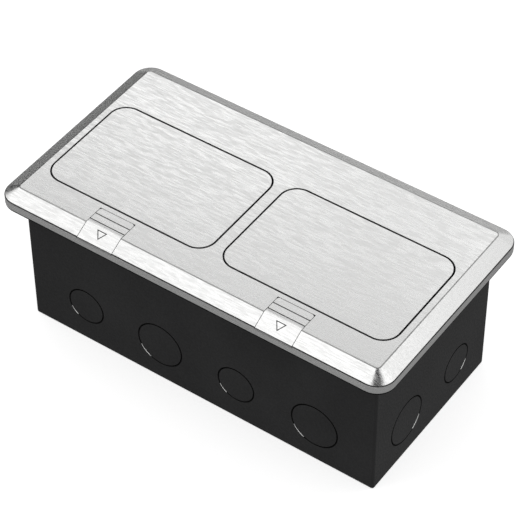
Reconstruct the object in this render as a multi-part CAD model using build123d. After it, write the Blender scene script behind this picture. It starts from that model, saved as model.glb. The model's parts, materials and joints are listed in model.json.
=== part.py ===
from build123d import *
import os
from math import acos, atan2, cos, degrees, hypot, radians, sin, tan

os.makedirs("parts", exist_ok=True)

# A recessed floor socket box: a steel box cast into the floor, and a stainless cover with two pop-up lids.
# Millimetres. The origin is the bottom centre of the box, +X runs along the cover, -Y faces the latches.

# Cover plate
overall_height = 95.0
plate_length = 240.0
plate_width = 130.0
plate_corner = 10.6
plate_sheet = 2.0
bevel_width = 8.6
bevel_drop = 4.5
rim_height = 4.6
gasket_height = 1.0
gasket_width = 5.0
gasket_inset = 0.2

# Lid openings in the cover, with what is left of the cover round them
opening_side_margin = 12.2
opening_front_margin = 23.5
opening_rear_margin = 37.8
opening_corner = 10.5
rib_width = 6.4
lid_gap = 0.8
tail_gap = 0.9
lid_edge_round = 0.3

# Junction box
box_end_inset = 10.0
box_side_inset = 11.0
box_wall = 1.5
box_edge = 1.5
box_foot_edge = 1.0
small_knockout = 22.8
large_knockout = 28.4
knockout_groove = 0.6
knockout_depth = 1.1
knockout_height = 25.5
knockout_pitch = 49.0
end_knockout_pitch = 48.0
ear_length = 12.0
box_screw_spread = 0.40757
box_screw_radius = 1.95
box_screw_gap = 1.2
box_head_radius = 4.1
box_head_height = 2.2
box_boss_radius = 3.7
box_screw_tail = 4.0
thread_play = 0.05
hole_play = 0.2
ear_margin = 4.2
earth_y = -20.0
earth_pad_radius = 6.0
earth_pad_height = 3.0
earth_hex = 8.0
earth_drive = 1.2
fixing_hole = 4.8
fixing_inset_x = 20.0
fixing_inset_y = 19.0

# Frame under the cover
frame_thickness = 2.5
frame_margin = 0.9
lug_gap = 0.1
side_ledge = 11.6
front_ledge = 2.4
ledge_short = 6.9
tail_room = 0.8
seal_thickness = 1.0
seal_width = 2.0
seal_inset = 0.3
stud_radius = 1.25
inner_stud_x = 22.0
outer_stud_inset = 22.0
stud_tail = 1.0
front_stud_inset = 16.5
rear_stud_inset = 23.0
nut_flats = 5.0
nut_height = 2.0

# Hinge
pivot_share = 0.762737
pivot_depth = 4.0
rod_radius = 1.25
rod_fit = 0.05
rod_seat = 0.02
lug_reach = 4.0
lug_thickness = 2.1
lug_depth = 3.5
rib_rod_gap = 0.3
clip_radius = 1.8
clip_thickness = 0.6
clip_mouth = 1.6
rod_end = 0.4
torsion_wire = 0.4
torsion_turns = 5
torsion_end = 0.8
coil_gap = 0.15
leg_gap = 0.05
leg_inset = 1.5
leg_hole = 1.5
wire_play = 0.06
anchor_run = 1.6

# Socket carrier under each lid
carrier_gap = 1.7
carrier_sheet = 1.5
carrier_foot = 16.0
carrier_rise = 12.0
flange_sheet = 1.2
flange_front_gap = 3.5
flange_rear_gap = 4.9
socket_tilt = 14.0
panel_setback = 17.5
panel_head = 7.5
panel_hem = 0.9
lid_stud_length = 2.6
lid_stud_inset = 9.0
lid_stud_edge = 4.0

# Duplex receptacle
face_overhang = 0.4
face_width = 33.2
face_height = 5.0
face_corner = 2.0
face_round = 0.8
outlet_rise = 1.5
outlet_flat = 13.6
outlet_end_gap = 13.5
strap_gap = 0.5
strap_width = 20.0
strap_sheet = 1.0
strap_ear = 5.5
strap_corner = 3.0
body_inset = 3.1
body_depth = 20.0
body_fit = 0.3
blade_pitch = 12.7
blade_shift = 4.0
blade_slot = 1.7
hot_slot = 6.6
neutral_slot = 8.2
earth_shift = -7.9
earth_radius = 2.4
terminal_inset = 13.5
terminal_head = 3.4
terminal_slot = 1.0
terminal_height = 1.8
terminal_radius = 1.7
terminal_bus_gap = 0.65
terminal_depth = 8.0
bus_depth = 12.0
bus_width = 3.8
bus_sheet = 1.0
bus_end = 6.0
bus_play = 0.2
clip_half = 4.6
clip_window = 5.0
earth_tube = 0.8
earth_depth = 10.0
socket_screw_radius = 1.2
socket_head_radius = 2.2
socket_head_height = 1.2
socket_drive = 0.6

# Latch
latch_width = 22.0
latch_setback = 3.1
latch_gap = 0.3
latch_travel = 4.0
latch_tip = 0.6
latch_corner = 1.5
grip_groove = 0.7
grip_depth = 0.5
grip_insets = (16.0, 11.5)
arrow_base = 6.4
arrow_length = 5.0
arrow_line = 0.5
arrow_depth = 0.3
boss_length = 4.0
boss_width = 6.0
boss_inset = 17.5
bolt_thickness = 1.5
bolt_play = 0.1
bolt_width = 15.6
nose_width = 10.0
cheek_gap = 0.2
striker_width = 8.0
striker_sheet = 1.2
striker_room = 1.5
striker_rear = 3.4
lip_height = 1.5
lip_length = 1.2
sweep_gap = 0.1
lip_play = 0.6
lip_inset = 1.9
bolt_lip_gap = 0.3
latch_screw_radius = 1.2
latch_head_radius = 2.2
latch_head_height = 1.4
latch_drive = 0.7
bolt_rear_gap = 1.5
tab_width = 8.0
tab_depth = 2.3
tab_sheet = 1.2
tab_gap = 0.8
seat_wall = 1.5
seat_room = 3.5
spigot_radius = 1.0
spigot_length = 1.5
latch_spring_wire = 0.5
latch_spring_radius = 1.6
latch_spring_turns = 5

# Lengths that follow from the sizes above
opening_length = (plate_length - rib_width) / 2 - opening_side_margin
opening_front = -plate_width / 2 + opening_front_margin
opening_rear = plate_width / 2 - opening_rear_margin
box_length = plate_length - 2 * box_end_inset
box_width = plate_width - 2 * box_side_inset
carrier_length = opening_length - 2 * side_ledge - 2 * carrier_gap
strap_length = carrier_length - 2 * strap_gap
body_length = strap_length - 2 * strap_ear
face_length = body_length + 2 * face_overhang
outlet_pitch = body_length - 2 * outlet_end_gap
terminal_x = body_length / 2 - terminal_inset
outlet_radius = face_width / 2
body_width = face_width - 2 * body_inset
terminal_reach = (body_width - blade_pitch - bus_width) / 2 - terminal_bus_gap
panel_mid = panel_head + body_width / 2
panel_length = panel_mid + face_width / 2 + panel_hem

# Levels and places that follow from the sizes above
top = overall_height
plate_back = top - plate_sheet
rim_top = top - bevel_drop
plate_foot = rim_top - rim_height
box_height = plate_foot - gasket_height
bevel_line = plate_width / 2 - bevel_width
slope = atan2(bevel_drop, bevel_width)
frame_back = plate_back - frame_thickness
ledge_top = plate_back - seal_thickness
frame_width = plate_width - 2 * (bevel_width + frame_margin)
pivot_z = top - pivot_depth
lid_offset = (opening_length + rib_width) / 2
lug_inner = lid_offset + opening_length / 2 + lug_gap
lug_outer = lug_inner + lug_thickness
frame_length = 2 * lug_outer
opening_mid = (opening_front + opening_rear) / 2
opening_width = opening_rear - opening_front
pivot_y = opening_front + pivot_share * opening_width
ledge_end = pivot_y - ledge_short
flange_front = opening_front + flange_front_gap
flange_rear = pivot_y - flange_rear_gap
panel_top_y = opening_front + panel_setback
lid_stud_x = carrier_length / 2 - lid_stud_inset
lid_stud_front = flange_front + lid_stud_edge
lid_stud_rear = flange_rear - lid_stud_edge
front_stud_y = -plate_width / 2 + front_stud_inset
rear_stud_y = plate_width / 2 - rear_stud_inset
latch_rear = opening_front - latch_setback
bolt_rear = opening_front - bolt_rear_gap
boss_y = -plate_width / 2 + boss_inset
lug_foot = pivot_z - lug_depth
seat_front = -plate_width / 2 + plate_sheet + seat_room
bolt_top = frame_back - bolt_play
bolt_foot = bolt_top - bolt_thickness
lip_top = bolt_foot - lip_play
lip_reach = pivot_y - opening_front - lip_inset
bolt_tip = pivot_y - lip_reach - bolt_lip_gap
tab_front = boss_y - latch_head_radius - tab_gap - tab_sheet
flange_foot = plate_back - flange_sheet
tilt = radians(socket_tilt)
socket_y = panel_top_y + panel_mid * sin(tilt)
socket_z = plate_back - panel_mid * cos(tilt)
box_screw_x = lug_inner - lug_gap - seal_inset - seal_width - box_head_radius - box_screw_gap
rear_screw_y = ledge_end - ear_length / 2
box_screw_rows = (rear_screw_y - box_screw_spread * opening_width, rear_screw_y)


def block(x0, x1, y0, y1, z0, z1):
    """A box between two corners."""
    centre = ((x0 + x1) / 2, (y0 + y1) / 2, (z0 + z1) / 2)
    return Pos(*centre) * Box(x1 - x0, y1 - y0, z1 - z0)


def disc(x, y, z0, z1, radius):
    """An upright cylinder between two heights."""
    return Pos(x, y, (z0 + z1) / 2) * Cylinder(radius, z1 - z0)


def slab(length, width, corner, z0, z1, y=0.0):
    """A flat plate with rounded corners, centred on x = 0."""
    outline = Pos(0, y, z0) * RectangleRounded(length, width, corner)
    return extrude(outline, z1 - z0)


def side_profile(points, half_width):
    """A YZ outline made into a solid that reaches half_width either side of x = 0."""
    face = make_face(Polyline(*[(0, y, z) for y, z in points], close=True))
    return extrude(face, half_width, dir=(1, 0, 0), both=True)


def nut(x, y, z_top):
    """A hexagon nut hanging below z_top, round a stud."""
    outline = Pos(x, y, z_top - nut_height) * RegularPolygon(nut_flats / 2, 6, major_radius=False)
    return extrude(outline, nut_height) - disc(x, y, z_top - nut_height, z_top, stud_radius + rod_seat)


def group(solids):
    """Separate solids kept in one node."""
    return Compound(children=[s for part in solids for s in part.solids()])


def both_lids(part):
    """The left and the right copy of a piece that is made about the middle of a lid."""
    return Pos(-lid_offset, 0, 0) * part, Pos(lid_offset, 0, 0) * part


def save(part, name):
    part.label = name
    export_step(part, f"parts/{name}.step")


def cover_shape(inset):
    """The cover's closed outline, offset inwards by inset, with its bevelled edge."""
    length = plate_length - 2 * inset
    width = plate_width - 2 * inset
    body = slab(length, width, plate_corner - inset, plate_foot, top - inset)
    across = bevel_width - inset + inset * tan(slope / 2)
    down = bevel_drop - inset + inset * tan((radians(90) - slope) / 2)
    face = body.faces().sort_by(Axis.Z)[-1]
    return chamfer(face.edges(), length=across, length2=down, reference=face)


def opening(z0, z1):
    """One lid opening about the middle of its lid."""
    return slab(opening_length, opening_width, opening_corner, z0, z1, opening_mid)


def cover_studs():
    columns = (inner_stud_x, plate_length / 2 - outer_stud_inset)
    rows = [(x, y) for x in columns for y in (front_stud_y, rear_stud_y)]
    return [(sign * x, y) for x, y in rows for sign in (-1, 1)]


def floor_plate():
    plate = cover_shape(0) - cover_shape(plate_sheet)
    slot = latch_width / 2 + latch_gap
    notch = rim_top - latch_tip - latch_gap
    latch_slot = block(-slot, slot, -plate_width, latch_rear + latch_gap, notch, top + 1)
    for cut in (*both_lids(opening(plate_back - 1, top + 1)), *both_lids(latch_slot)):
        plate -= cut
    stud_foot = frame_back - nut_height - stud_tail
    for x, y in cover_studs():
        plate += disc(x, y, stud_foot, plate_back, stud_radius)
    return plate


def floor_gasket():
    outer = slab(plate_length - 2 * gasket_inset, plate_width - 2 * gasket_inset,
                 plate_corner - gasket_inset, box_height, plate_foot)
    inner = slab(plate_length - 2 * gasket_width, plate_width - 2 * gasket_width,
                 plate_corner - gasket_width, box_height, plate_foot)
    return outer - inner


def frame_window():
    """What is cut out of the frame for one lid, about the middle of the lid."""
    inner = opening_length / 2 - side_ledge
    tail_end = opening_rear + tail_room
    window = block(-inner, inner, opening_front + front_ledge, opening_rear, frame_back - 1, top)
    tail = block(-opening_length / 2, opening_length / 2, ledge_end, tail_end, frame_back - 1, top)
    notch = striker_width / 2 + striker_room
    catch = block(-notch, notch, opening_front, opening_front + front_ledge + 1, frame_back - 1, top)
    return window + tail + catch + opening(ledge_top, top)


def latch_housing():
    """Cheeks that guide the bolt, and the wall that its spring pushes against."""
    inside = bolt_width / 2 + cheek_gap
    foot = bolt_foot - tab_depth
    rear = boss_y + boss_length / 2
    outer = block(-inside - seat_wall, inside + seat_wall, seat_front, rear, foot, frame_back)
    hollow = block(-inside, inside, seat_front + seat_wall, rear + 1, foot - 1, frame_back + 1)
    return outer - hollow + spigot(seat_front + seat_wall, spigot_length)


def spigot(y, length):
    """A short pin along Y that keeps the latch spring in place."""
    return Pos(0, y + length / 2, spring_axis()) * Rot(90, 0, 0) * Cylinder(spigot_radius, abs(length))


def spring_axis():
    return bolt_top - latch_spring_radius - latch_spring_wire / 2 - bolt_play


def inner_frame():
    frame = block(-frame_length / 2, frame_length / 2, -frame_width / 2, frame_width / 2,
                  frame_back, plate_back)
    for cut in both_lids(frame_window()):
        frame -= cut
    guide = block(-boss_width / 2 - cheek_gap, boss_width / 2 + cheek_gap,
                  boss_y - boss_length / 2 - latch_travel - cheek_gap, boss_y + boss_length / 2 + cheek_gap,
                  frame_back - 1, top)
    for cut in both_lids(guide):
        frame -= cut
    for piece in both_lids(latch_housing()):
        frame += piece
    lug = (pivot_y - lug_reach, pivot_y + lug_reach, lug_foot, plate_back)
    frame += block(-rib_width / 2, rib_width / 2, *lug)
    for sign in (-1, 1):
        ends = sorted((sign * lug_inner, sign * lug_outer))
        frame += block(*ends, *lug)
        for y in box_screw_rows:
            frame += disc(sign * box_screw_x, y, box_height, ledge_top, box_boss_radius)
    frame -= Pos(0, pivot_y, pivot_z) * Rot(0, 90, 0) * Cylinder(rod_radius + rod_seat, frame_length + 20)
    for sign in (-1, 1):
        for y in box_screw_rows:
            frame -= box_screw_body(sign * box_screw_x, y, hole_play)
    for x, y in cover_studs():
        frame -= disc(x, y, frame_back, plate_back, stud_radius + hole_play)
    for hole in both_lids(Pos(0, *spring_anchor()) * Rot(0, 90, 0) * spring_holes()):
        frame -= hole
    return frame


def spring_holes():
    """Blind holes for the fixed legs of one lid's torsion springs, along Z."""
    reach = opening_length / 2 + lug_gap + leg_hole
    hole = Cylinder(torsion_wire / 2 + wire_play, 2 * reach)
    return hole - Cylinder(torsion_wire, opening_length)


def box_screw_body(x, y, play):
    """A countersunk screw from the ledge down into the box's ear, or its hole when it has play."""
    bottom, top_radius = box_screw_radius + play, box_head_radius + play
    head = Pos(x, y, ledge_top - box_head_height / 2) * Cone(bottom, top_radius, box_head_height)
    return head + disc(x, y, box_height - box_screw_tail, ledge_top - box_head_height, bottom)


def box_screws():
    places = [(sign * box_screw_x, y) for sign in (-1, 1) for y in box_screw_rows]
    arm, width = 1.2 * box_head_radius, 0.2 * box_head_radius
    drive = Box(arm, width, box_head_height) + Box(width, arm, box_head_height)
    return group([box_screw_body(x, y, 0) - Pos(x, y, ledge_top) * drive for x, y in places])


def knockout(radius):
    """The ring groove of one knockout, cut in from z = 0 along -Z."""
    ring = Cylinder(radius, knockout_depth) - Cylinder(radius - knockout_groove, knockout_depth)
    return Pos(0, 0, -knockout_depth / 2) * ring


def knockout_grooves():
    cuts = []
    for side in (-1, 1):
        turn = 90 * side
        for i in range(4):
            x = (i - 1.5) * knockout_pitch
            radius = (small_knockout, large_knockout)[i % 2] / 2
            place = Pos(x, side * box_width / 2, knockout_height) * Rot(-turn, 0, 0)
            cuts.append(place * knockout(radius))
        for i in range(2):
            y = (i - 0.5) * end_knockout_pitch
            radius = (large_knockout, small_knockout)[i] / 2
            place = Pos(side * box_length / 2, y, knockout_height) * Rot(0, turn, 0)
            cuts.append(place * knockout(radius))
    return cuts


def junction_box():
    outer = slab(box_length, box_width, box_edge, 0, box_height)
    outer = fillet(outer.faces().sort_by(Axis.Z)[0].edges(), box_foot_edge)
    inner = slab(box_length - 2 * box_wall, box_width - 2 * box_wall, 0.6, box_wall, box_height + 1)
    box = outer - inner
    ear_depth = box_length / 2 - box_wall - box_screw_x + ear_margin
    for sign in (-1, 1):
        edge = sign * (box_length / 2 - box_wall / 2)
        ends = sorted((edge, edge - sign * (ear_depth + box_wall / 2)))
        for y in box_screw_rows:
            ear = (y - ear_length / 2, y + ear_length / 2, box_height - box_wall, box_height)
            box += block(*ends, *ear)
            hole = (box_height - 2 * box_wall, box_height + 1, box_screw_radius + thread_play)
            box -= disc(sign * box_screw_x, y, *hole)
    fixing_x = box_length / 2 - fixing_inset_x
    fixing_y = box_width / 2 - fixing_inset_y
    for x, y in ((-fixing_x, -fixing_y), (fixing_x, -fixing_y), (-fixing_x, fixing_y), (fixing_x, fixing_y)):
        box -= disc(x, y, -1, box_wall + 1, fixing_hole / 2)
    box += disc(0, earth_y, box_wall / 2, box_wall + earth_pad_height, earth_pad_radius)
    box -= disc(0, earth_y, -1, earth_pad_height, earth_pad_radius - box_wall)
    box -= disc(0, earth_y, 0, box_wall + 2 * earth_pad_height, box_screw_radius + thread_play)
    for cut in knockout_grooves():
        box -= cut
    return box


def earth_screw():
    """The green earthing screw in the raised pad of the box floor."""
    seat = box_wall + earth_pad_height
    outline = RegularPolygon(earth_hex / 2, 6, major_radius=False)
    head = Pos(0, earth_y, seat) * extrude(outline, earth_hex / 3)
    washer = disc(0, earth_y, seat, seat + earth_hex / 10, earth_hex * 0.6)
    slot = block(-earth_hex, earth_hex, earth_y - earth_drive / 2, earth_y + earth_drive / 2,
                 seat + earth_hex / 5, seat + earth_hex)
    return head + washer + disc(0, earth_y, box_wall, seat, box_screw_radius) - slot


def lid():
    plate = slab(opening_length - 2 * lid_gap, opening_width - lid_gap - tail_gap, opening_corner - lid_gap,
                 plate_back, top, opening_mid + (lid_gap - tail_gap) / 2)
    plate = fillet(plate.faces().sort_by(Axis.Z)[-1].edges(), lid_edge_round)
    for x, y, length in lid_studs():
        plate += disc(x, y, flange_foot - length, plate_back, stud_radius)
    return plate


def lid_studs():
    """Place and length below the carrier's flange of each weld stud under a lid."""
    rows = (lid_stud_front, lid_stud_rear)
    pairs = [(x, y, lid_stud_length) for x in (-lid_stud_x, lid_stud_x) for y in rows]
    return pairs + [(0.0, lid_stud_front, lid_stud_length + striker_sheet)]


def lid_nuts():
    nuts = []
    for x, y, length in lid_studs():
        seat = flange_foot if x else flange_foot - striker_sheet
        nuts.append(nut(x, y, seat))
    return group(nuts)


def lid_seal():
    """A C-shaped rubber strip on the ledge, open behind the hinge and at the catch."""
    outer = slab(opening_length - 2 * seal_inset, opening_width - 2 * seal_inset,
                 opening_corner - seal_inset, ledge_top, plate_back, opening_mid)
    edge = seal_inset + seal_width
    inner = slab(opening_length - 2 * edge, opening_width - 2 * edge, opening_corner - edge,
                 ledge_top, plate_back, opening_mid)
    half = opening_length / 2
    strip = outer - inner
    strip -= block(-half, half, ledge_end - seal_inset, opening_rear + 1, ledge_top - 1, top)
    notch = striker_width / 2 + striker_room
    return strip - block(-notch, notch, opening_front - 1, opening_front + 2 * edge, ledge_top - 1, top)


def socket_place(part):
    """Turns a piece made about the socket face (x along, y up, z outwards) to its place under the lid."""
    face = Plane(origin=(0, socket_y, socket_z), x_dir=(1, 0, 0), z_dir=(0, -cos(tilt), -sin(tilt)))
    return face.location * part


def socket_carrier():
    half = carrier_length / 2
    foot_y = panel_top_y + panel_length * sin(tilt)
    foot_z = plate_back - panel_length * cos(tilt)
    wall = [(panel_top_y, plate_back), (foot_y, foot_z),
            (foot_y + carrier_foot, foot_z + carrier_foot / 4),
            (pivot_y - rod_radius, foot_z + carrier_rise),
            (pivot_y + lug_reach, pivot_z - lug_reach), (pivot_y + lug_reach, plate_back)]
    body = side_profile(wall, half) - side_profile(wall, half - carrier_sheet)
    thick = carrier_sheet / cos(tilt)
    panel = [(panel_top_y, plate_back), (foot_y, foot_z), (foot_y + thick, foot_z),
             (panel_top_y + thick, plate_back)]
    body += side_profile(panel, half)
    body += block(-half, half, flange_front, flange_rear, flange_foot, plate_back)
    window = Box(body_length + 2 * body_fit, body_width + 2 * body_fit, 4 * carrier_sheet)
    body -= socket_place(window)
    thread = socket_screw_radius + thread_play
    for sign in (-1, 1):
        body -= socket_place(disc(sign * screw_x(), 0, -2 * carrier_sheet, 1, thread))
    for x, y, length in lid_studs():
        body -= disc(x, y, flange_foot - 1, plate_back + 1, stud_radius + hole_play)
    bore = Pos(0, pivot_y, pivot_z) * Rot(0, 90, 0) * Cylinder(rod_radius + rod_fit, carrier_length + 2)
    return body - bore


def screw_x():
    return (face_length / 2 + strap_length / 2) / 2


def hinge_rod(sign):
    """One hinge rod; its inner end stops inside the rib and its outer end passes the lug."""
    outer = lug_outer + clip_thickness + rod_end
    rod = Cylinder(rod_radius, outer - rib_rod_gap)
    return Pos(sign * (outer + rib_rod_gap) / 2, pivot_y, pivot_z) * Rot(0, 90, 0) * rod


def rod_clip(sign):
    """A retaining ring on the outer end of a hinge rod."""
    ring = Cylinder(clip_radius, clip_thickness) - Cylinder(rod_radius + rod_seat, clip_thickness)
    ring -= Pos(0, -clip_radius, 0) * Box(clip_mouth, 2 * clip_radius, clip_thickness)
    x = sign * (lug_outer + clip_thickness / 2)
    return Pos(x, pivot_y, pivot_z) * Rot(0, 90, 0) * Rot(0, 0, 90) * ring


def spring_radius():
    return rod_radius + torsion_wire / 2 + coil_gap


def spring_reach():
    """The point under the lid where a torsion spring's free leg ends, as (y, z)."""
    return ledge_end + leg_inset, plate_back - torsion_wire / 2 - leg_gap


def spring_start():
    """The point on the coil, as (y, z), where the free leg leaves it on a tangent."""
    y, z = spring_reach()
    span = hypot(y - pivot_y, z - pivot_z)
    angle = atan2(z - pivot_z, y - pivot_y) + acos(spring_radius() / span)
    return pivot_y + spring_radius() * cos(angle), pivot_z + spring_radius() * sin(angle), angle


def spring_anchor():
    """The point, as (y, z), where the fixed leg turns into its hole in the lug."""
    y, z, angle = spring_start()
    return y - anchor_run * sin(angle), z + anchor_run * cos(angle)


def rod_piece(start, end, radius):
    """A round bar from one point to another, with a small knuckle at the start."""
    line = end - start
    bar = Cylinder(radius, line.length - radius / 4, align=(Align.CENTER, Align.CENTER, Align.MIN))
    return Plane(origin=start, z_dir=line) * Pos(0, 0, radius / 4) * bar + Pos(start) * Sphere(radius * 1.2)


def torsion_spring(sign):
    """Coils round the rod, one leg in the frame's lug and one under the lid."""
    pitch = torsion_wire * 1.6
    run = torsion_turns * pitch
    far_x = opening_length / 2 - torsion_end
    wire = torsion_wire / 2
    y, z, angle = spring_start()
    coil = Helix(pitch, run, spring_radius())
    along_x = Rot(degrees(angle), 0, 0) * Rot(0, 0, 90) * Rot(90, 0, 0)
    coil = Pos(far_x - run, pivot_y, pivot_z) * along_x * coil
    ring = Plane(origin=coil @ 0, z_dir=coil % 0) * Circle(wire)
    spring = sweep(ring, path=coil)
    anchor = Vector(far_x, *spring_anchor())
    spring += rod_piece(coil @ 0, Vector((coil @ 0).X, *spring_reach()), wire)
    spring += rod_piece(coil @ 1, anchor, wire)
    spring += rod_piece(anchor, anchor + Vector(torsion_end + lug_gap + leg_hole - wire_play, 0, 0), wire)
    return spring if sign > 0 else mirror(spring, Plane.YZ)


def outlet_centres():
    return (-outlet_pitch / 2, outlet_pitch / 2)


def slots(z0, z1):
    """The blade slots and earth holes of both outlets."""
    cuts = []
    for x in outlet_centres():
        for y, length in ((blade_pitch / 2, hot_slot), (-blade_pitch / 2, neutral_slot)):
            cuts.append(block(x + blade_shift - length / 2, x + blade_shift + length / 2,
                              y - blade_slot / 2, y + blade_slot / 2, z0, z1))
        cuts.append(disc(x + earth_shift, 0, z0, z1, earth_radius))
    return cuts


def receptacle_face():
    low = strap_sheet
    face = extrude(Pos(0, 0, low) * RectangleRounded(face_length, face_width, face_corner), face_height)
    face = fillet(face.faces().sort_by(Axis.Z)[-1].edges(), face_round)
    for x in outlet_centres():
        outlet = disc(x, 0, low + face_height - 1, low + face_height + outlet_rise, outlet_radius)
        band = block(x - outlet_flat, x + outlet_flat, -face_width, face_width, low, low + 2 * face_height)
        face += outlet & band
    for cut in slots(low, low + face_height + outlet_rise):
        face -= cut
    return socket_place(face)


def receptacle_body():
    body = block(-body_length / 2, body_length / 2, -body_width / 2, body_width / 2, -body_depth, 0)
    end = bus_half() + bus_play
    half = bus_width / 2 + bus_play
    for y in (-blade_pitch / 2, blade_pitch / 2):
        body -= block(-end, end, y - half, y + half, -bus_depth - bus_play, 1)
    for x in outlet_centres():
        body -= disc(x + earth_shift, 0, -earth_depth - bus_play, 1, earth_radius + earth_tube + bus_play)
    for x, side, z in terminals() + [earth_terminal()]:
        body -= terminal_place(x, side, z) * Cylinder(terminal_radius + thread_play, 2 * terminal_reach)
    return socket_place(body)


def bus_half():
    return outlet_pitch / 2 + blade_shift + bus_end


def terminals():
    """Place along, side and depth of the four wiring screws."""
    return [(x, side, -terminal_depth) for x in (-terminal_x, terminal_x) for side in (-1, 1)]


def earth_terminal():
    return (0.0, -1, -terminal_depth)


def terminal_place(x, side, z):
    """The seat of a wiring screw on the side of the body, with Z pointing out of it."""
    return Pos(x, side * body_width / 2, z) * Rot(-side * 90, 0, 0)


def receptacle_strap():
    strap = extrude(RectangleRounded(strap_length, strap_width, strap_corner), strap_sheet)
    for x in outlet_centres():
        strap += disc(x + earth_shift, 0, -earth_depth, strap_sheet / 2, earth_radius + earth_tube)
        strap -= disc(x + earth_shift, 0, -2 * earth_depth, 2, earth_radius)
        middle, half = x + blade_shift, bus_width / 2 + clip_window / 10
        for y in (-blade_pitch / 2, blade_pitch / 2):
            strap -= block(middle - clip_window, middle + clip_window, y - half, y + half, -1, 2)
    for sign in (-1, 1):
        strap -= disc(sign * screw_x(), 0, -1, 2, socket_screw_radius + hole_play)
    return socket_place(strap)


def receptacle_screws():
    screws = []
    seat = strap_sheet
    slot = block(-socket_head_radius, socket_head_radius, -socket_drive / 2, socket_drive / 2,
                 seat + socket_head_height / 2, seat + 2)
    for x in (-screw_x(), screw_x()):
        screw = disc(x, 0, seat, seat + socket_head_height, socket_head_radius)
        screw += disc(x, 0, -2 * carrier_sheet, seat, socket_screw_radius)
        screws.append(socket_place(screw - Pos(x, 0, 0) * slot))
    return group(screws)


def contact_bus(side):
    """One brass bus with a spring clip behind each blade slot."""
    y, half = side * blade_pitch / 2, bus_width / 2
    room = half - bus_sheet
    bus = block(-bus_half(), bus_half(), y - half, y + half, -bus_depth, bus_sheet - bus_depth)
    for x in outlet_centres():
        middle = x + blade_shift
        ends = (middle - clip_half, middle + clip_half)
        bus += block(*ends, y - half, y + half, bus_sheet - bus_depth, -bus_sheet)
        gap = (middle - clip_window, middle + clip_window)
        bus -= block(*gap, y - room, y + room, 2 * bus_sheet - bus_depth, 0)
    return bus


def contacts():
    return socket_place(group([contact_bus(-1), contact_bus(1)]))


def terminal_screw(x, side, z):
    """A wiring screw whose head stands off the side of the socket body."""
    screw = disc(0, 0, 0, terminal_height, terminal_head) + disc(0, 0, -terminal_reach, 0, terminal_radius)
    screw -= block(-terminal_head, terminal_head, -terminal_slot / 2, terminal_slot / 2,
                   terminal_height / 2, 2 * terminal_height)
    return terminal_place(x, side, z) * screw


def terminal_screws(side):
    return socket_place(group([terminal_screw(*t) for t in terminals() if t[1] == side]))


def latch_slider():
    half = latch_width / 2
    rim = -plate_width / 2
    outline = [(latch_rear, top), (-bevel_line, top), (rim, rim_top), (rim, rim_top - latch_tip),
               (-bevel_line, plate_back), (latch_rear, plate_back)]
    slider = side_profile(outline, half)
    corners = slider.edges().filter_by(Axis.Z).group_by(Axis.Y)[-1]
    slider = fillet(corners, latch_corner)
    for y in [inset - plate_width / 2 for inset in grip_insets]:
        ridge = [(y - grip_groove / 2, top + 0.1), (y + grip_groove / 2, top + 0.1),
                 (y + grip_groove / 2, top - grip_depth)]
        slider -= side_profile(ridge, half + 1)
    slider -= arrow_groove()
    slider += block(-boss_width / 2, boss_width / 2, boss_y - boss_length / 2, boss_y + boss_length / 2,
                    bolt_top, plate_back)
    thread = latch_screw_radius + thread_play
    return slider - disc(0, boss_y, bolt_top - 1, plate_back + plate_sheet / 4, thread)


def arrow_groove():
    """An outlined triangle on the sloping end that points to the front edge."""
    back = -1.2
    ahead = back - arrow_length
    outline = make_face(Polyline((-arrow_base / 2, back), (arrow_base / 2, back), (0, ahead), close=True))
    ring = outline - offset(outline, -arrow_line)
    groove = extrude(ring, arrow_depth, both=True)
    return Pos(0, -bevel_line, top) * Rot(degrees(slope), 0, 0) * groove


def latch_bolt():
    half = bolt_width / 2
    bolt = block(-half, half, tab_front, bolt_rear, bolt_foot, bolt_top)
    bolt += block(-nose_width / 2, nose_width / 2, boss_y, bolt_tip, bolt_foot, bolt_top)
    bolt += block(-tab_width / 2, tab_width / 2, tab_front, tab_front + tab_sheet,
                  bolt_foot - tab_depth, bolt_foot)
    bolt += spigot(tab_front, -spigot_length / 2)
    return bolt - disc(0, boss_y, bolt_foot - 1, bolt_top + 1, latch_screw_radius + 2 * thread_play)


def latch_screw():
    foot = bolt_foot - latch_head_height
    head = disc(0, boss_y, foot, bolt_foot, latch_head_radius)
    shank = disc(0, boss_y, bolt_foot, plate_back, latch_screw_radius)
    slot = block(-latch_head_radius, latch_head_radius, boss_y - latch_drive / 2,
                 boss_y + latch_drive / 2, foot - 1, foot + latch_head_height / 2)
    return head + shank - slot


def latch_spring():
    """A compression spring between the housing's wall and the bolt's tab."""
    wire = latch_spring_wire / 2
    start = seat_front + seat_wall + wire
    run = tab_front - wire - start
    coil = Helix(run / latch_spring_turns, run, latch_spring_radius)
    coil = Pos(0, start + run, spring_axis()) * Rot(90, 0, 0) * Rot(0, 0, 90) * coil
    ring = Plane(origin=coil @ 0, z_dir=coil % 0) * Circle(wire)
    return sweep(ring, path=coil)


def striker():
    """The catch plate under the lid's front edge, with a lip that the bolt holds down."""
    front = pivot_y - lip_reach + sweep_gap
    web = front + lip_length
    rear = lid_stud_front + striker_rear
    lip_foot = lip_top - lip_height
    outline = [(rear, flange_foot), (web, flange_foot), (web, lip_top), (front, lip_top),
               (front, lip_foot), (web + striker_sheet, lip_foot),
               (web + striker_sheet, flange_foot - striker_sheet),
               (rear, flange_foot - striker_sheet)]
    plate = side_profile(outline, striker_width / 2)
    hole = (flange_foot - 2 * striker_sheet, flange_foot + 1, stud_radius + hole_play)
    return plate - disc(0, lid_stud_front, *hole)


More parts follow.
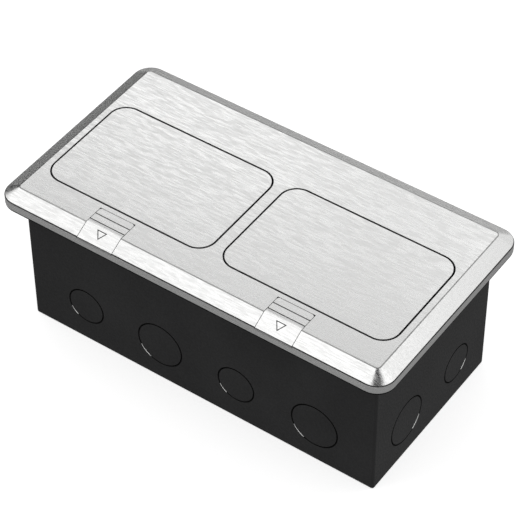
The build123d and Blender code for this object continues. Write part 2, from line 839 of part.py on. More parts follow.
def export_pairs():
    """Everything that comes once for each lid."""
    pieces = {
        "lid": lid(), "lid_nuts": lid_nuts(), "lid_seal": lid_seal(), "socket_carrier": socket_carrier(),
        "torsion_springs": group([torsion_spring(-1), torsion_spring(1)]),
        "receptacle_face": receptacle_face(), "receptacle_body": receptacle_body(),
        "receptacle_strap": receptacle_strap(), "receptacle_screws": receptacle_screws(),
        "contacts": contacts(), "hot_terminals": terminal_screws(1),
        "neutral_terminals": terminal_screws(-1),
        "earth_terminal": socket_place(terminal_screw(*earth_terminal())),
        "latch_slider": latch_slider(), "latch_bolt": latch_bolt(), "latch_screw": latch_screw(),
        "latch_spring": latch_spring(), "striker": striker(),
    }
    for name, part in pieces.items():
        left, right = both_lids(part)
        save(left, f"{name}_left")
        save(right, f"{name}_right")


def export_single():
    save(junction_box(), "junction_box")
    save(earth_screw(), "earth_screw")
    save(floor_gasket(), "floor_gasket")
    save(floor_plate(), "floor_plate")
    save(inner_frame(), "inner_frame")
    save(group([nut(x, y, frame_back) for x, y in cover_studs()]), "frame_nuts")
    save(box_screws(), "box_screws")
    for sign, side in ((-1, "left"), (1, "right")):
        save(hinge_rod(sign), f"hinge_rod_{side}")
        save(rod_clip(sign), f"rod_clip_{side}")


export_single()
export_pairs()
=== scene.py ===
# %% [markdown]
# # A floor socket box
# This notebook dresses a floor socket box for a photograph: a black steel box that is cast into a floor,
# under a stainless cover with two pop-up lids and two slide latches.
# The shape of every piece comes ready from the construction model, in metres, with the box standing on z = 0.
# Loading it first gives each later cell something real to measure.

# %% Load the construction model
import json
from math import radians

import bmesh
import bpy
from mathutils import Matrix, Vector


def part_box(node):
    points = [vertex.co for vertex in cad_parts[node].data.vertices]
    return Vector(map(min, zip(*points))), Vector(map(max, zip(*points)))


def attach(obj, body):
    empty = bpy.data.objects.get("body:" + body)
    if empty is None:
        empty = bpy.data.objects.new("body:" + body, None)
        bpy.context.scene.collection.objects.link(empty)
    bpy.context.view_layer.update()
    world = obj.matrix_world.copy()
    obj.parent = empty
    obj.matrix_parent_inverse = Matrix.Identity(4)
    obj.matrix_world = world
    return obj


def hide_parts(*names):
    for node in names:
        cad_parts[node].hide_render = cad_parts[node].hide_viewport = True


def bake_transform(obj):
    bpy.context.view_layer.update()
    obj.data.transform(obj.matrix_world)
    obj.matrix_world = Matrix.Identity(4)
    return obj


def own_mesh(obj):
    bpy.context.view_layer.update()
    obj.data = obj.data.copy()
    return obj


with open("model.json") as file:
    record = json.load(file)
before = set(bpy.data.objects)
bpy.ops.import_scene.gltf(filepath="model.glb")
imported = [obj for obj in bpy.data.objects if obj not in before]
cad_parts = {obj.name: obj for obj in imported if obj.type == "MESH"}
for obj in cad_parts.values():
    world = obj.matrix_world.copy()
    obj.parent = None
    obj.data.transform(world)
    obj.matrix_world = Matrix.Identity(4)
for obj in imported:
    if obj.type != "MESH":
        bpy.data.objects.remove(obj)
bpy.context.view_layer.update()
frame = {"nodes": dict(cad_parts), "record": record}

# %% [markdown]
# ## The camera
# The photograph looks down on one corner of the box through a long lens, so that far edges hardly shrink.
# A camera is placed by one matrix: first its roll, then its tilt, then its turn about the upright, and
# last its place. Writing the matrix, rather than aiming at a target, keeps the small roll of a hand-held
# camera.

# %% Place the camera
camera_place = Vector((0.49908, -0.70177, 0.92718))
camera_turn = Matrix.Rotation(radians(35.275), 4, "Z")
camera_tilt = Matrix.Rotation(radians(90 - 45.277), 4, "X")
camera_roll = Matrix.Rotation(radians(-0.303), 4, "Z")

camera = bpy.data.objects.new("camera", bpy.data.cameras.new("camera"))
bpy.context.collection.objects.link(camera)
camera.matrix_world = Matrix.Translation(camera_place) @ camera_turn @ camera_tilt @ camera_roll
camera.data.lens = 160.75
camera.data.sensor_width = 36
camera.data.clip_start = 0.05
bpy.context.scene.camera = camera
bpy.context.scene.view_settings.view_transform = "Standard"
print("camera", round(camera_place.length, 3), "m from the foot of the box")

# %% [markdown]
# ## The studio
# A catalogue photograph of a metal object is mostly a photograph of what the metal reflects.
# The world is a white tent. The camera and the metal see it at full white, and Light Path nodes give
# the surfaces that it lights a plainer level, so that a colour renders about as it is written.

# %% A white tent
tent_light = 0.62


def math_of(tree, how, first, second):
    """Puts two values of a node tree through one math node."""
    join = tree.nodes.new("ShaderNodeMath")
    join.operation = how
    tree.links.new(first, join.inputs[0])
    tree.links.new(second, join.inputs[1])
    return join.outputs[0]


world = bpy.data.worlds.new("tent")
bpy.context.scene.world = world
world.use_nodes = True
tent = world.node_tree
tent.nodes.clear()
seen = tent.nodes.new("ShaderNodeLightPath")
either = math_of(tent, "MAXIMUM", seen.outputs["Is Camera Ray"], seen.outputs["Is Glossy Ray"])
through = math_of(tent, "MAXIMUM", either, seen.outputs["Is Transmission Ray"])
level = tent.nodes.new("ShaderNodeMapRange")
level.inputs["To Min"].default_value = tent_light
level.inputs["To Max"].default_value = 1.0
tent.links.new(through, level.inputs["Value"])
sky = tent.nodes.new("ShaderNodeBackground")
sky.inputs["Color"].default_value = (1.0, 1.0, 1.0, 1.0)
tent.links.new(level.outputs[0], sky.inputs["Strength"])
tent_out = tent.nodes.new("ShaderNodeOutputWorld")
tent.links.new(sky.outputs[0], tent_out.inputs["Surface"])
print("tent lights at", tent_light)

# %% [markdown]
# Two soft boxes light the floor and the black walls, and give the object its soft shadow. An area lamp
# shines along its own -Z, so each is turned to face the box by tracking that axis. Neither shows in the
# metal, so that the cards of the next step alone decide what the steel mirrors.

# %% Soft boxes
cover_middle = Vector((0, 0, 0.09))


def soft_box(name, place, size, watts):
    """An area lamp that faces the middle of the cover."""
    lamp = bpy.data.lights.new(name, "AREA")
    lamp.shape = "SQUARE"
    lamp.size = size
    lamp.energy = watts
    lamp_object = bpy.data.objects.new(name, lamp)
    bpy.context.collection.objects.link(lamp_object)
    turn = (cover_middle - Vector(place)).to_track_quat("-Z", "Y").to_matrix().to_4x4()
    lamp_object.matrix_world = Matrix.Translation(place) @ turn
    lamp_object.visible_glossy = False
    return lamp_object


top_lamp = soft_box("top_lamp", (-0.62, -0.42, 1.35), 1.0, 3.6)
back_lamp = soft_box("back_lamp", (0.55, 0.85, 1.15), 0.9, 3.2)
print("lamps", top_lamp.name, back_lamp.name)

# %% [markdown]
# The stage is made of flat sheets. Each is a bmesh turned into an object, with a short node tree for its
# paint, and most of them only show in reflections. A few functions say these things once.

# %% Helpers for the stage
def object_from(shape, name):
    """An object made from a bmesh, which is freed."""
    mesh = bpy.data.meshes.new(name)
    shape.to_mesh(mesh)
    shape.free()
    made = bpy.data.objects.new(name, mesh)
    bpy.context.collection.objects.link(made)
    return made


def rectangle(width, height):
    """A flat sheet on z = 0, with its middle at the origin."""
    shape = bmesh.new()
    bmesh.ops.create_grid(shape, x_segments=1, y_segments=1, size=0.5)
    bmesh.ops.scale(shape, vec=(width, height, 1), verts=shape.verts)
    return shape


def empty_paint(name):
    """A material with no nodes yet."""
    paint = bpy.data.materials.new(name)
    paint.use_nodes = True
    paint.node_tree.nodes.clear()
    return paint


def surface(paint, shader):
    """Ends a node tree with the shader that it shows."""
    out = paint.node_tree.nodes.new("ShaderNodeOutputMaterial")
    paint.node_tree.links.new(shader.outputs[0], out.inputs["Surface"])


def glowing(name, level):
    """A paint of one grey level, whatever light falls on it."""
    paint = empty_paint(name)
    glow = paint.node_tree.nodes.new("ShaderNodeEmission")
    glow.inputs["Color"].default_value = (level, level, level, 1)
    surface(paint, glow)
    return paint


def only_in_reflections(thing):
    """Hides a stage piece from every ray but the glossy ones."""
    thing.visible_camera = False
    thing.visible_diffuse = False
    thing.visible_transmission = False
    thing.visible_shadow = False


print("stage helpers ready")

# %% [markdown]
# Bright metal in an all-white tent looks like plastic, so a photographer stands white, grey and black
# cards round it. Each card here shows only in reflections. A wide roof gives the flat steel its brightness.
# Every other card is placed by the direction in which one face of the cover mirrors the camera: the left
# slope, the back slope, the bends above the rim in front and on the right, the small cone at the near
# corner, which looks almost straight up, the front part of the flat, and the right slope.

# %% Grey cards
def grey_card(name, direction, distance, width, height, level, aside=0.0):
    """A card that faces the cover from a direction, seen by glossy rays alone; aside slides it along X."""
    outward = Vector(direction).normalized()
    turn = (-outward).to_track_quat("Z", "Y").to_matrix().to_4x4()
    place = Matrix.Translation(cover_middle + outward * distance) @ turn
    shape = rectangle(width, height)
    bmesh.ops.transform(shape, matrix=place, verts=shape.verts)
    bmesh.ops.translate(shape, vec=(aside, 0, 0), verts=shape.verts)
    card = object_from(shape, name)
    card.data.materials.append(glowing(name, level))
    only_in_reflections(card)
    return card


cards = [
    grey_card("tent_roof", (0.0, 0.0, 1.0), 2.0, 6.0, 6.0, 1.36),
    grey_card("left_card", (-0.81, 0.58, 0.10), 1.2, 1.6, 0.92, 0.03),
    grey_card("back_card", (-0.35, 0.93, 0.02), 1.3, 0.9, 0.55, 0.25),
    grey_card("front_card", (-0.42, -0.86, 0.28), 1.1, 0.9, 0.75, 0.01),
    grey_card("right_card", (0.76, 0.60, 0.22), 1.2, 0.9, 0.62, 0.01),
    grey_card("zenith_card", (0.0, -0.29, 0.957), 1.0, 0.50, 1.1, 0.0, aside=0.30),
    grey_card("ceiling_card", (0.0, 0.33, 0.944), 0.46, 0.9, 0.24, 0.50, aside=-0.2),
    grey_card("side_card", (0.42, 0.80, 0.47), 0.62, 0.5, 0.35, 0.85),
]
print("cards", [card.name for card in cards])

# %% [markdown]
# The photograph's steel gets a little darker towards the right end of the flat, and towards the left end
# of the front slope. Two sheets of gauze hang under the roof where those parts mirror it, each clear at
# one edge and denser at the other, so that the steel fades without a line.

# %% Gauze under the roof
gauze_height = 1.95


def gauze(name, clear_x, dense_x, low_y, high_y, passed):
    """A sheet seen by glossy rays alone, which passes all light at clear_x and a share of it at dense_x.
    It goes on at that share as far again beyond dense_x.
    """
    shape = rectangle(2 * abs(dense_x - clear_x), high_y - low_y)
    bmesh.ops.translate(shape, vec=(dense_x, (low_y + high_y) / 2, gauze_height), verts=shape.verts)
    hung = object_from(shape, name)
    cloth = empty_paint(name)
    nodes, links = cloth.node_tree.nodes, cloth.node_tree.links
    place = nodes.new("ShaderNodeTexCoord")
    axes = nodes.new("ShaderNodeSeparateXYZ")
    links.new(place.outputs["Object"], axes.inputs[0])
    fade = nodes.new("ShaderNodeMapRange")
    fade.inputs["From Min"].default_value = clear_x
    fade.inputs["From Max"].default_value = dense_x
    fade.inputs["To Min"].default_value = 1.0
    fade.inputs["To Max"].default_value = passed
    links.new(axes.outputs["X"], fade.inputs["Value"])
    thin = nodes.new("ShaderNodeBsdfTransparent")
    links.new(fade.outputs[0], thin.inputs["Color"])
    surface(cloth, thin)
    hung.data.materials.append(cloth)
    only_in_reflections(hung)
    return hung


sheets = [
    gauze("right_gauze", -1.12, -0.93, 0.5, 2.7, 0.70),
    gauze("front_gauze", -0.92, -1.03, -1.3, -0.1, 0.82),
]
print("gauze", [hung.name for hung in sheets])

# %% [markdown]
# The upright rim of the cover and the black walls of the box mirror the table in front of them.
# A grey cloth on the table, again seen only in reflections, keeps both of them dark.

# %% Grey cloth
cloth_radius = 0.75
above_floor = 0.0004

cloth_shape = bmesh.new()
bmesh.ops.create_circle(cloth_shape, cap_ends=True, segments=48, radius=cloth_radius)
bmesh.ops.translate(cloth_shape, vec=(0, 0, above_floor), verts=cloth_shape.verts)
table_cloth = object_from(cloth_shape, "table_cloth")
table_cloth.data.materials.append(glowing("cloth_paint", 0.30))
only_in_reflections(table_cloth)
print("table cloth laid")

# %% [markdown]
# ## The floor
# The floor is a plain pale sheet. It is lit like the object, so that the object's shadow stays on it,
# and a glow for camera and mirror rays lifts the lit part to the white of the tent.

# %% Lay the floor
floor_width = 12.0
floor_glow = 0.62

floor = object_from(rectangle(floor_width, floor_width), "floor")

floor_paint = empty_paint("floor_paint")
sheet = floor_paint.node_tree
matt = sheet.nodes.new("ShaderNodeBsdfDiffuse")
matt.inputs["Color"].default_value = (0.75, 0.75, 0.75, 1)
glow = sheet.nodes.new("ShaderNodeEmission")
glow.inputs["Color"].default_value = (1, 1, 1, 1)
ray = sheet.nodes.new("ShaderNodeLightPath")
seen_floor = math_of(sheet, "MAXIMUM", ray.outputs["Is Camera Ray"], ray.outputs["Is Glossy Ray"])
lift = sheet.nodes.new("ShaderNodeMath")
lift.operation = "MULTIPLY"
lift.inputs[1].default_value = floor_glow
sheet.links.new(seen_floor, lift.inputs[0])
sheet.links.new(lift.outputs[0], glow.inputs["Strength"])
both = sheet.nodes.new("ShaderNodeAddShader")
sheet.links.new(matt.outputs[0], both.inputs[0])
sheet.links.new(glow.outputs[0], both.inputs[1])
surface(floor_paint, both)
floor.data.materials.append(floor_paint)
print("floor laid")

# %% [markdown]
# ## Tools for the finishes
# Every finish below is one Principled shader with a few patterns. Values that are the same all over sit
# on the shader's own sockets. The patterns are noise on Object coordinates, so they are fixed to the
# metal and turn with a lid when it opens.

# %% Helpers for materials
def finish(name, colour, roughness, metallic=0.0):
    """A material whose plain values sit on the Principled shader itself."""
    made = bpy.data.materials.new(name)
    made.use_nodes = True
    shader = made.node_tree.nodes["Principled BSDF"]
    shader.inputs["Base Color"].default_value = (*colour, 1)
    shader.inputs["Roughness"].default_value = roughness
    shader.inputs["Metallic"].default_value = metallic
    return made


def set_plain(made, socket, value):
    """Gives a socket of the shader one value all over."""
    made.node_tree.nodes["Principled BSDF"].inputs[socket].default_value = value


def pattern(made, scale, detail=2.0, shift=0.0):
    """Noise fixed to the piece; scale is its cycles a metre along X, Y and Z."""
    nodes, links = made.node_tree.nodes, made.node_tree.links
    place = nodes.new("ShaderNodeTexCoord")
    stretch = nodes.new("ShaderNodeMapping")
    stretch.inputs["Scale"].default_value = scale
    stretch.inputs["Location"].default_value = (shift, shift, shift)
    noise = nodes.new("ShaderNodeTexNoise")
    noise.inputs["Scale"].default_value = 1.0
    noise.inputs["Detail"].default_value = detail
    links.new(place.outputs["Object"], stretch.inputs["Vector"])
    links.new(stretch.outputs["Vector"], noise.inputs["Vector"])
    return noise.outputs["Fac"]


def between(made, value, low, high, start=0.3, end=0.7):
    """Takes the middle of a pattern to the range from low to high."""
    spread = made.node_tree.nodes.new("ShaderNodeMapRange")
    spread.inputs["From Min"].default_value = start
    spread.inputs["From Max"].default_value = end
    spread.inputs["To Min"].default_value = low
    spread.inputs["To Max"].default_value = high
    made.node_tree.links.new(value, spread.inputs["Value"])
    return spread.outputs[0]


def combined(made, first, second):
    """The sum of two patterns."""
    return math_of(made.node_tree, "ADD", first, second)


def drive(made, value, socket):
    """Lets a pattern set a socket of the shader."""
    made.node_tree.links.new(value, made.node_tree.nodes["Principled BSDF"].inputs[socket])


def tint(made, value, dark, light):
    """Paints the base colour from dark to light as value goes from 0 to 1."""
    blend = made.node_tree.nodes.new("ShaderNodeMix")
    blend.data_type = "RGBA"
    blend.inputs["A"].default_value = (*dark, 1)
    blend.inputs["B"].default_value = (*light, 1)
    made.node_tree.links.new(value, blend.inputs["Factor"])
    drive(made, blend.outputs["Result"], "Base Color")


def relief(made, height, depth):
    """Bumps of a depth in metres, on top of any that are there already."""
    nodes, links = made.node_tree.nodes, made.node_tree.links
    normal = nodes["Principled BSDF"].inputs["Normal"]
    bump = nodes.new("ShaderNodeBump")
    bump.inputs["Distance"].default_value = depth
    links.new(height, bump.inputs["Height"])
    if normal.is_linked:
        links.new(normal.links[0].from_socket, bump.inputs["Normal"])
    links.new(bump.outputs["Normal"], normal)


print("finish helpers ready")

# %% [markdown]
# ## Brushed stainless steel
# The cover is brushed along its length. Brushing is three things at once: hair-fine scratches, soft
# broad bands where the belt pressed harder, and a slight change of gloss from scratch to scratch.
# Noise squeezed across the grain and stretched along it gives all three.

# %% Brushed steel
hair_share, line_share, band_share = 0.46, 0.46, 0.08
hair_depth, line_depth = 0.0000015, 0.0000018


def brushed(name, dark, light, gloss, shift=0.0):
    """Steel brushed along X, in tones from dark to light."""
    steel = finish(name, light, gloss, metallic=1.0)
    hairs = pattern(steel, (200.0, 2100.0, 2100.0), detail=2.0, shift=shift)
    lines = pattern(steel, (130.0, 1300.0, 1300.0), detail=1.0, shift=shift + 3)
    bands = pattern(steel, (1.6, 50.0, 50.0), detail=2.0, shift=shift + 7)
    grain = combined(steel, between(steel, hairs, 0.0, hair_share),
                     between(steel, lines, 0.0, line_share, start=0.38, end=0.62))
    grain = combined(steel, grain, between(steel, bands, 0.0, band_share))
    tint(steel, grain, dark, light)
    drive(steel, between(steel, grain, gloss + 0.08, gloss - 0.05, start=0.2, end=0.8), "Roughness")
    relief(steel, lines, line_depth)
    relief(steel, hairs, hair_depth)
    set_plain(steel, "Anisotropic", 0.7)
    across = steel.node_tree.nodes.new("ShaderNodeCombineXYZ")
    across.inputs["Y"].default_value = 1.0
    drive(steel, across.outputs[0], "Tangent")
    return steel


cover_steel = brushed("cover_steel", (0.705, 0.705, 0.70), (0.825, 0.825, 0.82), 0.28)
latch_steel = brushed("latch_steel", (0.715, 0.715, 0.71), (0.835, 0.835, 0.83), 0.27, shift=11.0)
print("brushed steel:", cover_steel.name, latch_steel.name)

# %% [markdown]
# The edges that a laser or a punch cut through the sheet aren't brushed. They are painted near black as painted
# shade, the shade that fills the narrow gap round each lid, so that the gap reads as a black line. Thin painted
# shade lines also run along the bends: a grey one where the flat turns down and a dark one where the slope
# meets the rim.

# %% Cut edges
# painted shade: cut edges, slot walls, latch grooves and the arrow are painted near black for the shade in them
painted_edge_shade = finish("painted_edge_shade", (0.02, 0.02, 0.021), 0.6, metallic=0.3)
burr = pattern(painted_edge_shade, (1400.0, 1400.0, 90.0), detail=3.0)
tint(painted_edge_shade, between(painted_edge_shade, burr, 0.0, 1.0), (0.008, 0.008, 0.009), (0.030, 0.030, 0.031))
relief(painted_edge_shade, burr, 0.00003)

# painted shade: a grey line painted along the bend where the flat turns down
bend_shade = finish("bend_shade", (0.30, 0.30, 0.30), 0.45, metallic=1.0)
bend_shade_noise = pattern(bend_shade, (90.0, 900.0, 900.0), detail=2.0)
tint(bend_shade, between(bend_shade, bend_shade_noise, 0.0, 1.0), (0.24, 0.24, 0.24), (0.38, 0.38, 0.375))

# painted shade: a dark line painted along the bend where the slope meets the rim
rim_shade = finish("rim_shade", (0.03, 0.03, 0.03), 0.55, metallic=0.5)
rim_shade_noise = pattern(rim_shade, (400.0, 400.0, 400.0), detail=3.0)
tint(rim_shade, between(rim_shade, rim_shade_noise, 0.0, 1.0), (0.018, 0.018, 0.018), (0.045, 0.045, 0.044))
print("edges:", painted_edge_shade.name, bend_shade.name, rim_shade.name)

# %% [markdown]
# ## Black powder coat
# Powder coat melts into a skin with the faint dimples of orange peel. Its colour is almost even, so
# most of its look is a soft, broken reflection.

# %% Powder coat
powder_coat = finish("powder_coat", (0.012, 0.012, 0.0125), 0.5)
set_plain(powder_coat, "Specular IOR Level", 0.28)
peel = pattern(powder_coat, (900.0, 900.0, 900.0), detail=3.0)
cloud = pattern(powder_coat, (25.0, 25.0, 25.0), detail=2.0)
tint(powder_coat, between(powder_coat, cloud, 0.0, 1.0), (0.011, 0.011, 0.0115), (0.018, 0.018, 0.0185))
drive(powder_coat, between(powder_coat, peel, 0.42, 0.58), "Roughness")
relief(powder_coat, peel, 0.00006)
print("powder coat:", powder_coat.name)

# %% [markdown]
# The ring groove round each knockout is painted near black as painted shade, and a sliver of bright steel on
# one side of every ring is a painted glint.

# %% Ring grooves
# painted shade: the coat in the ring grooves is painted darker than the rest
painted_groove_shade = finish("painted_groove_shade", (0.003, 0.003, 0.003), 0.7)
set_plain(painted_groove_shade, "Specular IOR Level", 0.1)
groove_shade_noise = pattern(painted_groove_shade, (700.0, 700.0, 700.0), detail=3.0)
tint(painted_groove_shade, between(painted_groove_shade, groove_shade_noise, 0.0, 1.0), (0.002, 0.002, 0.002), (0.006, 0.006, 0.006))

# painted glint: bright steel on the arc of each ring that faces the light
painted_glint_sliver = finish("painted_glint_sliver", (0.85, 0.85, 0.84), 0.3, metallic=1.0)
score = pattern(painted_glint_sliver, (500.0, 2500.0, 2500.0), detail=2.0)
tint(painted_glint_sliver, between(painted_glint_sliver, score, 0.0, 1.0), (0.78, 0.78, 0.77), (0.92, 0.92, 0.91))
print("grooves:", painted_groove_shade.name, painted_glint_sliver.name)

# %% [markdown]
# ## Rubber, castings and plating
# The rest are plainer finishes. Each still gets the mark of how it is made: a fine bloom on rubber,
# the sandy skin of a die casting, the cloudy sparkle of zinc plating, drawing lines along wire.

# %% Rubber
gasket_rubber = finish("gasket_rubber", (0.004, 0.004, 0.004), 0.85)
set_plain(gasket_rubber, "Specular IOR Level", 0.06)
bloom = pattern(gasket_rubber, (260.0, 260.0, 260.0), detail=3.0)
tint(gasket_rubber, between(gasket_rubber, bloom, 0.0, 1.0), (0.002, 0.002, 0.002), (0.006, 0.006, 0.006))
relief(gasket_rubber, bloom, 0.00004)
print("rubber:", gasket_rubber.name)

# %% Die casting and platings
def mottled(name, dark, light, roughness, grain, depth, metallic=1.0):
    """Metal or plastic with an even, grainy skin."""
    made = finish(name, light, roughness, metallic)
    skin = pattern(made, (grain, grain, grain), detail=4.0)
    cloud = pattern(made, (grain / 12, grain / 12, grain / 12), detail=2.0, shift=5.0)
    tint(made, between(made, combined(made, skin, cloud), 0.0, 1.0, start=0.7, end=1.3), dark, light)
    drive(made, between(made, cloud, roughness - 0.07, roughness + 0.07), "Roughness")
    relief(made, skin, depth)
    return made


def drawn(name, dark, light, roughness, along):
    """Wire or bar with drawing lines along one axis."""
    made = finish(name, light, roughness, metallic=1.0)
    lines = pattern(made, along, detail=3.0)
    tint(made, between(made, lines, 0.0, 1.0), dark, light)
    drive(made, between(made, lines, roughness - 0.05, roughness + 0.08), "Roughness")
    relief(made, lines, 0.00001)
    return made


cast_metal = mottled("cast_metal", (0.36, 0.37, 0.38), (0.50, 0.51, 0.52), 0.5, 1400.0, 0.00005)
zinc_coat = mottled("zinc_coat", (0.50, 0.52, 0.55), (0.68, 0.69, 0.70), 0.34, 900.0, 0.00002)
nickel_coat = mottled("nickel_coat", (0.60, 0.58, 0.53), (0.74, 0.71, 0.65), 0.24, 700.0, 0.00001)
green_coat = mottled("green_coat", (0.05, 0.22, 0.09), (0.09, 0.34, 0.14), 0.32, 900.0, 0.00002)
yellow_brass = mottled("yellow_brass", (0.56, 0.38, 0.13), (0.75, 0.54, 0.22), 0.28, 800.0, 0.00002)
ground_steel = drawn("ground_steel", (0.58, 0.58, 0.58), (0.76, 0.76, 0.75), 0.22, (20.0, 2500.0, 2500.0))
spring_wire = drawn("spring_wire", (0.40, 0.41, 0.42), (0.58, 0.58, 0.57), 0.30, (900.0, 900.0, 900.0))
print("metals:", [made.name for made in (cast_metal, zinc_coat, nickel_coat, green_coat, yellow_brass,
                                        ground_steel, spring_wire)])

# %% Moulded plastics
moulded_face = mottled("moulded_face", (0.78, 0.78, 0.76), (0.86, 0.86, 0.84), 0.36, 1500.0, 0.00002, 0.0)
moulded_body = mottled("moulded_body", (0.040, 0.040, 0.040), (0.055, 0.055, 0.055), 0.48, 1100.0, 0.00004, 0.0)
print("plastics:", moulded_face.name, moulded_body.name)

# %% [markdown]
# ## Dress the construction model
# Each piece of the model already names the finish it is made in. One table turns that name into a
# material, so no piece can be missed, and the printed count says so.

# %% Give every piece its finish
finishes = {
    "stainless": cover_steel, "stainless_latch": latch_steel, "black_paint": powder_coat,
    "black_rubber": gasket_rubber, "die_casting": cast_metal, "zinc_plate": zinc_coat,
    "bright_steel": ground_steel, "spring_steel": spring_wire, "brass": yellow_brass,
    "nickel_plate": nickel_coat, "green_plate": green_coat,
    "face_plastic": moulded_face, "body_plastic": moulded_body,
}

node_slots = {piece["node"]: piece["material_slot"] for piece in frame["record"]["subparts"]}
for name, piece in frame["nodes"].items():
    made = finishes[node_slots[name]]
    if not piece.material_slots:
        piece.data.materials.append(made)
    for place in piece.material_slots:
        place.material = made
print(len(frame["nodes"]), "pieces dressed")

# %% [markdown]
# ## Worked edges
# The construction model has knife-sharp edges, and real sheet steel has none: a bend has a radius and a
# cut edge is deburred. For the pieces that the photograph shows best, a copy of the model's mesh is
# merged into one skin, its flat facets are joined, and bmesh bevels just the edges that a test picks.
# Marking faces with more materials then paints the cut edges, grooves and bend lines with painted shade, and
# the knockout rings with a painted glint.

# %% Helpers for worked pieces
same_point = 0.000002


def wire_copy(node):
    """One skin made from a construction piece, with all its facets."""
    skin = bmesh.new()
    skin.from_mesh(frame["nodes"][node].data)
    bmesh.ops.remove_doubles(skin, verts=skin.verts, dist=same_point)
    return skin


def merged_copy(node):
    """One skin made from a construction piece, with its flat facets joined."""
    skin = wire_copy(node)
    bmesh.ops.dissolve_limit(skin, angle_limit=radians(0.5), verts=skin.verts, edges=skin.edges)
    return skin


def round_edges(skin, width, wanted):
    """Bevels the sharp edges whose two ends both pass the test."""
    sharp = [edge for edge in skin.edges if edge.is_manifold and edge.calc_face_angle() > radians(20)
             and all(wanted(end.co) for end in edge.verts)]
    bmesh.ops.bevel(skin, geom=sharp, offset=width, offset_type="OFFSET", affect="EDGES",
                    segments=3, profile=0.5, material=-1, clamp_overlap=True)
    return len(sharp)


def put_on(skin, name, node, body, materials, choose):
    """Makes the skin a piece that stands for its node; choose gives each face its material.
    A piece that spans a joint has no body here.
    """
    for face in skin.faces:
        face.material_index = choose(face)
        face.smooth = True
    for edge in skin.edges:
        edge.smooth = edge.is_manifold and edge.calc_face_angle() < radians(32)
    piece = object_from(skin, name)
    for made in materials:
        piece.data.materials.append(made)
    even = piece.modifiers.new("even_shading", "WEIGHTED_NORMAL")
    even.keep_sharp = True
    if body:
        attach(piece, body)
    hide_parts(node)
    print(name, len(piece.data.polygons), "faces")
    return piece


def plain(face):
    """Gives every face of a piece its first material."""
    return 0


def near(value, target, slack=0.00003):
    """True where two lengths are the same but for rounding."""
    return abs(value - target) < slack


# %% [markdown]
# ## The cover
# The cover is one pressed sheet: a flat top, a slope all round and a short upright rim. Its bends get a
# soft radius, wider at the rim, with painted shade lines along them. The walls of the lid openings and latch
# slots are cut edges, painted dark as shade.

# %% The cover
cover_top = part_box("floor_plate")[1][2]
rim_line = cover_top - 0.0045
flat_reach = (0.1085, 0.0545)
rim_reach = (0.1185, 0.0535)
openings_front, openings_back = -0.043, 0.03
bend_radius, rim_radius, burr_radius = 0.0005, 0.0006, 0.00018


def beyond(at, reach):
    """True outside a rectangle about the middle of the cover."""
    return abs(at.x) > reach[0] or abs(at.y) > reach[1]


cover_skin = merged_copy("floor_plate")
bends = round_edges(cover_skin, bend_radius, lambda at: near(at.z, cover_top) and beyond(at, flat_reach))
rims = round_edges(cover_skin, rim_radius, lambda at: near(at.z, rim_line) and beyond(at, rim_reach))
deburred = round_edges(cover_skin, burr_radius, lambda at: near(at.z, cover_top)
                       and abs(at.x) < flat_reach[0] and openings_front < at.y < openings_back)
print("edges rounded:", bends, "bends,", rims, "at the rim,", deburred, "round the openings")


def cover_finish(face):
    """1 for the walls cut through the sheet, painted dark as shade, 2 and 3 for the painted shade lines along
    the bends, 0 for the brushed skin.
    """
    middle = face.calc_center_median()
    level_share = abs(face.normal.z)
    outside = abs(middle.x) > 0.1105 or middle.y > 0.05 or middle.y < -0.0560
    just_under_top = cover_top - 0.0005 < middle.z < cover_top - 0.00001
    if outside and 0.90 < level_share < 0.985 and just_under_top:
        return 2
    if outside and 0.42 < level_share < 0.86 and near(middle.z, rim_line, 0.0007):
        return 3
    in_sheet = abs(middle.x) < 0.1095 and -0.0555 < middle.y < 0.05 and middle.z > 0.0925
    slot_wall = abs(face.normal.x) > 0.9 and abs(middle.x) < 0.07
    return int(level_share < 0.4 and (in_sheet or slot_wall))


put_on(cover_skin, "cover", "floor_plate", "base",
       [cover_steel, painted_edge_shade, bend_shade, rim_shade], cover_finish)

# %% [markdown]
# ## The lids
# Each lid is a flat plate with rounded corners. Its edge is cut like the openings and painted dark right up to
# the top as painted shade, so that the gap round it reads as one black line. The top and the underside are
# brushed.

# %% The lids
plate_underside = 0.093


def lid_finish(face):
    """1 for the edge of the plate, painted dark as the shade in the gap, 0 for the rest."""
    return int(abs(face.normal.z) < 0.9 and face.calc_center_median().z > plate_underside)


for side in ("left", "right"):
    put_on(merged_copy(f"lid_{side}"), f"lid_plate_{side}", f"lid_{side}", f"{side}_lid",
           [cover_steel, painted_edge_shade], lid_finish)

# %% [markdown]
# ## The latches
# A latch is a small bent plate with two finger grooves and an arrow outline, both pressed in and
# painted dark as painted shade. The faces of the grooves and the arrow are told from the skin by how deep they
# lie.

# %% The latches
slope_normal = Vector((0, -0.4636, 0.8860))
bend_line = Vector((0, -0.0564, cover_top))
groove_lines = (-0.0490, -0.0535)
latch_front = -0.065
latch_radius = 0.0004
bend_reach = 0.0007


def latch_finish(face):
    """1 for painted shade in grooves, arrow and cut sides, 2 for the painted shade line along the front bend, 0
    for the brushed skin.
    """
    middle = face.calc_center_median()
    if 0.42 < face.normal.z < 0.86 and near(middle.z, rim_line, 0.0006) and middle.y < latch_front + bend_reach:
        return 2
    depth = slope_normal.dot(middle - bend_line)
    in_arrow = middle.y < bend_line.y and -0.00045 < depth < -0.00003 and middle.z > rim_line
    in_groove = (any(near(middle.y, line, 0.0006) for line in groove_lines)
                 and cover_top - 0.0006 < middle.z < cover_top - 0.00002)
    cut_side = abs(face.normal.x) > 0.9
    return int(in_arrow or in_groove or cut_side)


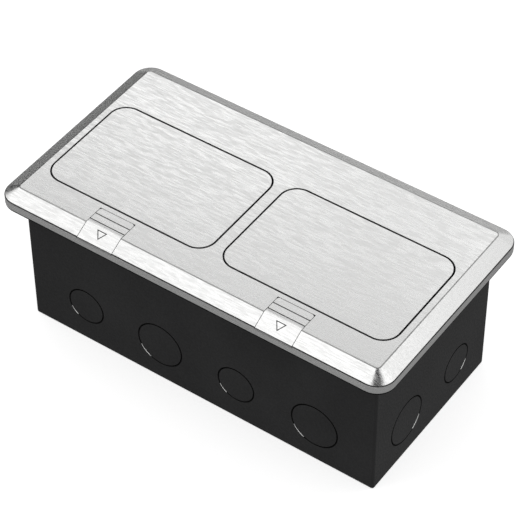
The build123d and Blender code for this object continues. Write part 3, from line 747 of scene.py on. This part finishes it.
for side in ("left", "right"):
    latch_skin = merged_copy(f"latch_slider_{side}")
    round_edges(latch_skin, latch_radius, lambda at: near(at.y, latch_front) and near(at.z, rim_line))
    put_on(latch_skin, f"latch_plate_{side}", f"latch_slider_{side}", f"{side}_latch",
           [latch_steel, painted_edge_shade, rim_shade], latch_finish)

# %% [markdown]
# ## The box
# The punch that cuts a knockout rolls the sheet over along the outer edge of its ring groove, and that
# edge catches the light. The groove itself is painted near black as shade, and a short arc of its outer wall,
# on the same side of every ring, carries a painted glint of bright steel.

# %% The box
ring_height = 0.0255
long_rings = [-0.0735, -0.0245, 0.0245, 0.0735]
end_rings = [-0.024, 0.024]
long_wall, end_wall = 0.054, 0.110
groove_depth = 0.0012
ring_radii = (0.0114, 0.0142)
rolled_radius = 0.00028
# painted glint: the arc of each ring whose wall turns towards this side gets bright steel
glint_side = Vector((-0.707, -0.707))
glint_cosine = 0.965


def box_finish(face):
    """2 for the painted glint on its arc, 1 for painted shade in the rest of a ring groove, 0 for the coat."""
    at = face.calc_center_median()
    if not 0.005 < at.z < 0.06:
        return 0
    rise = at.z - ring_height
    if long_wall - groove_depth < abs(at.y) < long_wall - 0.00001 and abs(at.x) < 0.1:
        along = at.x - min(long_rings, key=lambda ring: abs(ring - at.x))
        from_centre = Vector((along, 0, rise))
        seen_along = along if at.y < 0 else -along
    elif end_wall - groove_depth < abs(at.x) < end_wall - 0.00001 and abs(at.y) < 0.05:
        along = at.y - min(end_rings, key=lambda ring: abs(ring - at.y))
        from_centre = Vector((0, along, rise))
        seen_along = -along if at.x > 0 else along
    else:
        return 0
    outer_wall = face.normal.dot(from_centre) < -0.005
    toward_glint = Vector((seen_along, rise)).normalized().dot(glint_side)
    return 2 if outer_wall and toward_glint > glint_cosine else 1


def on_ring(at):
    """True on the outer edge of a ring groove, where the punch has rolled the sheet over."""
    if near(abs(at.y), long_wall):
        along, rings = at.x, long_rings
    elif near(abs(at.x), end_wall):
        along, rings = at.y, end_rings
    else:
        return False
    reach = min(Vector((along - ring, at.z - ring_height)).length for ring in rings)
    return any(near(reach, radius, 0.0001) for radius in ring_radii)


box_skin = merged_copy("junction_box")
rolled = round_edges(box_skin, rolled_radius, on_ring)
print("ring edges rolled:", rolled)
box_shell = put_on(box_skin, "box_shell", "junction_box", "base",
                   [powder_coat, painted_groove_shade, painted_glint_sliver], box_finish)
# counts the faces that carry the painted glint
print("bare slivers:", sum(1 for face in box_shell.data.polygons if face.material_index == 2))

# %% [markdown]
# ## Springs
# The springs of the construction model are stiff, and real ones give way; here they stay as modelled. The two
# torsion springs of each lid come as one piece, and are cut apart at the lid's middle into two pieces with
# their places baked into the mesh and no body. Each latch spring becomes a piece on the base, with a mesh of
# its own.

# %% Springs split into pieces
lid_middles = {"left": -0.0555, "right": 0.0555}

for side, middle in lid_middles.items():
    node = f"torsion_springs_{side}"
    for number, end in ((1, -1), (2, 1)):
        spring_skin = wire_copy(node)
        other_end = [at for at in spring_skin.verts if (at.co.x - middle) * end < 0]
        bmesh.ops.delete(spring_skin, geom=other_end, context="VERTS")
        spring = put_on(spring_skin, f"torsion_spring_{side}_{number}", node, None,
                        [spring_wire], plain)
        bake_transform(spring)

    node = f"latch_spring_{side}"
    coil = put_on(wire_copy(node), f"latch_coil_{side}", node, "base", [spring_wire], plain)
    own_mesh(coil)
